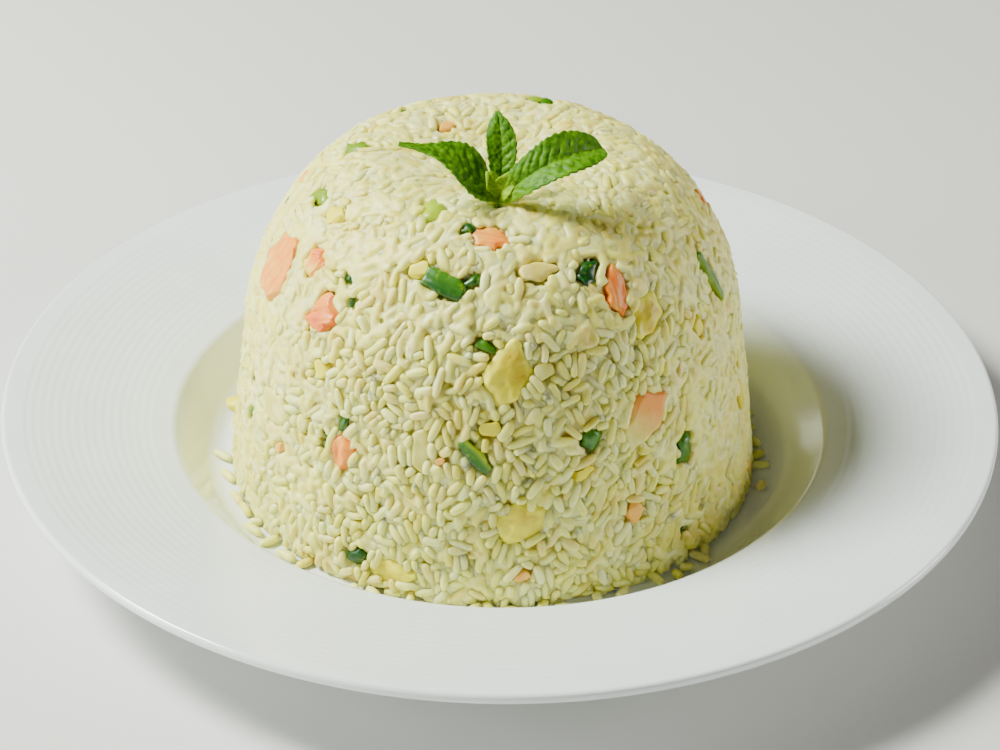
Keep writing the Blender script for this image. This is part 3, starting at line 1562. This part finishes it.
@dataclass
class Sprig:
    """A short mint sprig in a nest of the rice."""

    outline: HeapOutline
    packing: Packing
    azimuth: float = math.radians(1.0)
    run: float = 0.0285
    stem_radius: float = 0.0010
    stem_depth: float = 0.007
    stem_rise: float = 0.0012
    thickness: float = 0.00048
    tooth: float = 0.085
    slant: float = 0.20
    leaves: tuple[Leaf, ...] = (
        Leaf(
            Vector((-0.0288, -0.0027, 0.0167)), 0.0180, Vector((0.32, -0.20, 0.98)),
            0.0041, 0.10, 0.375, 1.36, 1.52, -0.0016, 0.0030, 0.54, 14, 0.0,
        ),
        Leaf(
            Vector((0.0296, 0.0118, 0.0102)), 0.0127, Vector((-0.245, -0.66, 0.69)),
            0.0104, 0.32, 0.69, 0.25, 0.25, -0.0013, 0.0005, -0.43, 15, 0.0,
        ),
        Leaf(
            Vector((-0.0003, 0.0127, 0.0216)), 0.0074, Vector((0.08, -0.90, 0.40)),
            0.0013, 0.16, 0.66, 0.36, 0.98, -0.0013, 0.0, -0.45, 12, 0.0,
        ),
        Leaf(
            Vector((-0.0026, 0.0010, 0.0088)), 0.0042, Vector((0.30, -0.80, 0.50)),
            0.0008, 0.40, 0.45, 0.7, 0.7, 0.0, 0.0, 0.0, 7, 0.7,
        ),
        Leaf(
            Vector((0.0050, 0.0, 0.0090)), 0.0048, Vector((-0.35, -0.80, 0.50)),
            0.0008, 0.40, 0.45, 0.7, 0.7, 0.0, 0.0, 0.0, 7, 0.7,
        ),
    )

    def blade(self, leaf: Leaf, foot: Vector) -> bpy.types.Object:
        """One leaf with its toothed edge, sunken veins and the quilted blade between them.

        Args:
            leaf: its sizes.
            foot: where it starts.

        Returns:
            The leaf as a thin closed body.
        """
        bpy.ops.object.select_all(action="DESELECT")
        bpy.ops.mesh.primitive_grid_add(x_subdivisions=leaf.teeth * 8, y_subdivisions=24, size=1)
        piece = bpy.context.object
        along = leaf.reach.normalized()
        side = leaf.facing.cross(along).normalized()
        up = along.cross(side)
        skew = math.log(0.5) / math.log(leaf.belly)
        veins, crowns, youths = [], [], []
        for vertex in piece.data.vertices:
            share = min(max(vertex.co.x + 0.5, 0.0), 1.0)
            across = min(max(vertex.co.y * 2, -1.0), 1.0)
            loose = 0.16 * noise.noise(Vector((share * 5, across, leaf.width * 900)))
            place = (leaf.teeth * 0.72 * (share + loose * 0.1 - self.slant * abs(across) * (1 - share * 0.4))) % 1.0
            edge = (leaf.teeth * (share + loose * 0.2)) % 1.0
            saw = edge / 0.72 if edge < 0.72 else (1 - edge) / 0.28
            hollow = leaf.near if share < leaf.belly else leaf.far
            broad = max(math.sin(math.pi * share**skew), 0.0) ** hollow
            half = leaf.width / 2 * broad * (1 + self.tooth * (saw - 0.5) * smooth(abs(across) * 2 - 0.8))
            reach = across * (half + self.stem_radius / 2)
            near = min(place, 1 - place)
            vein = math.exp(-((near / 0.10) ** 2)) * (1 - 0.6 * abs(across))
            rib = math.exp(-((across / 0.06) ** 2))
            quilt = math.sin(math.pi * place) * math.sin(math.pi * min(abs(across) * 1.05, 1.0))
            crinkle = noise.noise(Vector((share * 26, across * 7, leaf.width * 700)))
            bulge = 4 * share * (1 - share)
            curl = leaf.twist * (share - 0.3)
            sideways = side * math.cos(curl) + up * math.sin(curl)
            upwards = up * math.cos(curl) - side * math.sin(curl)
            wave = 0.0005 * math.sin(share * 9 + across * 2) * abs(across)
            detail = quilt * 0.0004 + crinkle * 0.0004 - vein * 0.0001 - rib * 0.0002
            detail *= smooth(share * 6) * smooth((1 - share) * 8) * min(leaf.width / 0.0105, 1.0)
            spine = foot + leaf.reach * share + side * leaf.bow * bulge + up * (leaf.arch * bulge + leaf.lift * share**3)
            vertex.co = spine + sideways * reach + upwards * (abs(reach) * leaf.fold + wave + detail)
            veins.append(max(vein * 0.6, rib))
            crowns.append(min(max(quilt * 0.7 + crinkle, 0.0), 1.0))
            youths.append(max(leaf.youth, 0.6 * smooth(1 - share * 4)))
        paint(piece, "vein", np.array(veins))
        paint(piece, "crown", np.array(crowns))
        paint(piece, "youth", np.array(youths))
        finish_modifier(piece, "SOLIDIFY", thickness=self.thickness, offset=0)
        return piece

    def stem(self, foot: Vector) -> bpy.types.Object:
        """The stem, a little waisted, from its hole in the rice to the leaves."""
        depth = self.stem_depth + self.stem_rise
        middle = foot + Vector((0, 0, (self.stem_rise - self.stem_depth) / 2))
        bpy.ops.object.select_all(action="DESELECT")
        bpy.ops.mesh.primitive_cylinder_add(vertices=14, radius=self.stem_radius, depth=depth, location=middle)
        piece = bpy.context.object
        settle(piece)
        with editing(piece) as mesh:
            bpy.ops.mesh.select_all(action="SELECT")
            bpy.ops.mesh.bisect(plane_co=foot, plane_no=(0, 0, 1))
            select(piece, mesh, lambda co: abs(co.z - foot.z) < 0.0002)
            bpy.ops.transform.resize(value=(0.86, 0.86, 1), center_override=foot)
        count = len(piece.data.vertices)
        paint(piece, "vein", np.zeros(count))
        paint(piece, "crown", np.full(count, 0.5))
        paint(piece, "youth", np.full(count, 0.5))
        return piece

    def build(self) -> None:
        """Makes the sprig and keeps the grains off it."""
        foot = self.outline.place_on(self.azimuth, self.run, 0, 0).translation
        parts = [self.stem(foot)] + [self.blade(leaf, foot) for leaf in self.leaves]
        bpy.ops.object.select_all(action="DESELECT")
        for part in parts:
            part.select_set(True)
        bpy.context.view_layer.objects.active = parts[0]
        bpy.ops.object.join()
        piece = parts[0]
        piece.name = "mint_leaves"
        settle(piece)
        shade_round(piece)
        dress(piece, MintLeaf().material(), Skin.MINT, "mint_sprig")
        places = points_of(piece)
        self.packing.fill(places, 0.0013)


# The studio


@dataclass(frozen=True)
class Studio:
    """A pale floor, soft light from the left and behind, and the camera that looks down on the dish."""

    distance: float = 0.850
    elevation: float = math.radians(32.705)
    roll: float = math.radians(0.722)
    focal: float = 2797.26
    wide: int = 1000
    tall: int = 750
    target: tuple[float, float, float] = (0.0, 0.0, 0.032)
    seen_at: tuple[float, float] = (500.24, 382.50)

    def camera(self) -> None:
        """Sets up the camera."""
        made = bpy.data.cameras.new("camera")
        made.sensor_width = 36
        made.lens = self.focal / self.wide * made.sensor_width
        made.shift_x = (self.wide / 2 - self.seen_at[0]) / self.wide
        made.shift_y = (self.seen_at[1] - self.tall / 2) / self.wide
        made.clip_start = 0.01
        piece = bpy.data.objects.new("camera", made)
        bpy.context.scene.collection.objects.link(piece)
        back = Vector((0, -math.cos(self.elevation), math.sin(self.elevation)))
        up = Vector((0, math.sin(self.elevation), math.cos(self.elevation)))
        turn = Matrix((Vector((1, 0, 0)), up, back)).transposed().to_4x4()
        eye = Matrix.Translation(Vector(self.target) + back * self.distance)
        piece.matrix_world = eye @ turn @ Matrix.Rotation(self.roll, 4, "Z")
        bpy.context.scene.camera = piece

    def lamp(self, name: str, place: Vector, size: float, power: float, tint: Colour) -> None:
        """Hangs a soft square lamp that shines on the heap.

        Args:
            name: its name.
            place: where it hangs.
            size: the length of its side.
            power: how strong it is, in watts.
            tint: its colour.
        """
        made = bpy.data.lights.new(name, "AREA")
        made.size = size
        made.energy = power
        made.color = tint[:3]
        piece = bpy.data.objects.new(name, made)
        bpy.context.scene.collection.objects.link(piece)
        piece.location = place
        piece.rotation_euler = (Vector((0, 0, 0.06)) - place).to_track_quat("-Z", "Y").to_euler()

    def build(self) -> None:
        """Sets up the floor, the lamps and the camera."""
        bpy.ops.object.select_all(action="DESELECT")
        bpy.ops.mesh.primitive_plane_add(size=8)
        floor = bpy.context.object
        floor.name = "studio_floor"
        board = Board("studio_floor")
        tone = board.mottle(board.places(), 1.5)
        board.feed("Base Color", board.mix(tone, pigment(214, 213, 210), pigment(222, 221, 218)))
        board.set(Roughness=0.7)
        floor.data.materials.append(board.material)
        world = bpy.context.scene.world or bpy.data.worlds.new("studio")
        bpy.context.scene.world = world
        world.use_nodes = True
        sky = world.node_tree.nodes["Background"]
        sky.inputs["Color"].default_value = (0.93, 0.96, 1.0, 1.0)
        sky.inputs["Strength"].default_value = 0.04
        self.lamp("key", Vector((-0.76, 0.08, 0.95)), 0.36, 40, pigment(251, 255, 246))
        self.lamp("left", Vector((-1.13, -0.25, 0.30)), 0.5, 9, pigment(250, 255, 246))
        self.lamp("right", Vector((1.10, 0.05, 0.30)), 0.4, 8, pigment(255, 253, 245))
        self.lamp("front", Vector((-0.2, -1.1, 0.42)), 0.6, 1.6, pigment(255, 252, 242))
        self.camera()


def main() -> None:
    """Builds the dish and its studio."""
    logging.basicConfig(level=logging.INFO, format="%(message)s")
    outline = HeapOutline()
    packing = Packing(Vector((-0.092, -0.092, 0.0)), Vector((0.090, 0.090, 0.125)), 0.00045)
    fleshes = {
        Food.EGG: SoftEgg().material(),
        Food.HAM: PinkFlake().material(),
        Food.CAKE: CreamFlesh().material(),
        Food.ONION: OnionLeaf().material(),
    }
    plate = Plate()
    plate.build()
    Sprig(outline, packing).build()
    Toppings(outline, packing, fleshes).build()
    Bits(outline, packing, fleshes).build()
    Rice(outline, plate, packing).build()
    Studio().build()


if __name__ == "__main__":
    main()
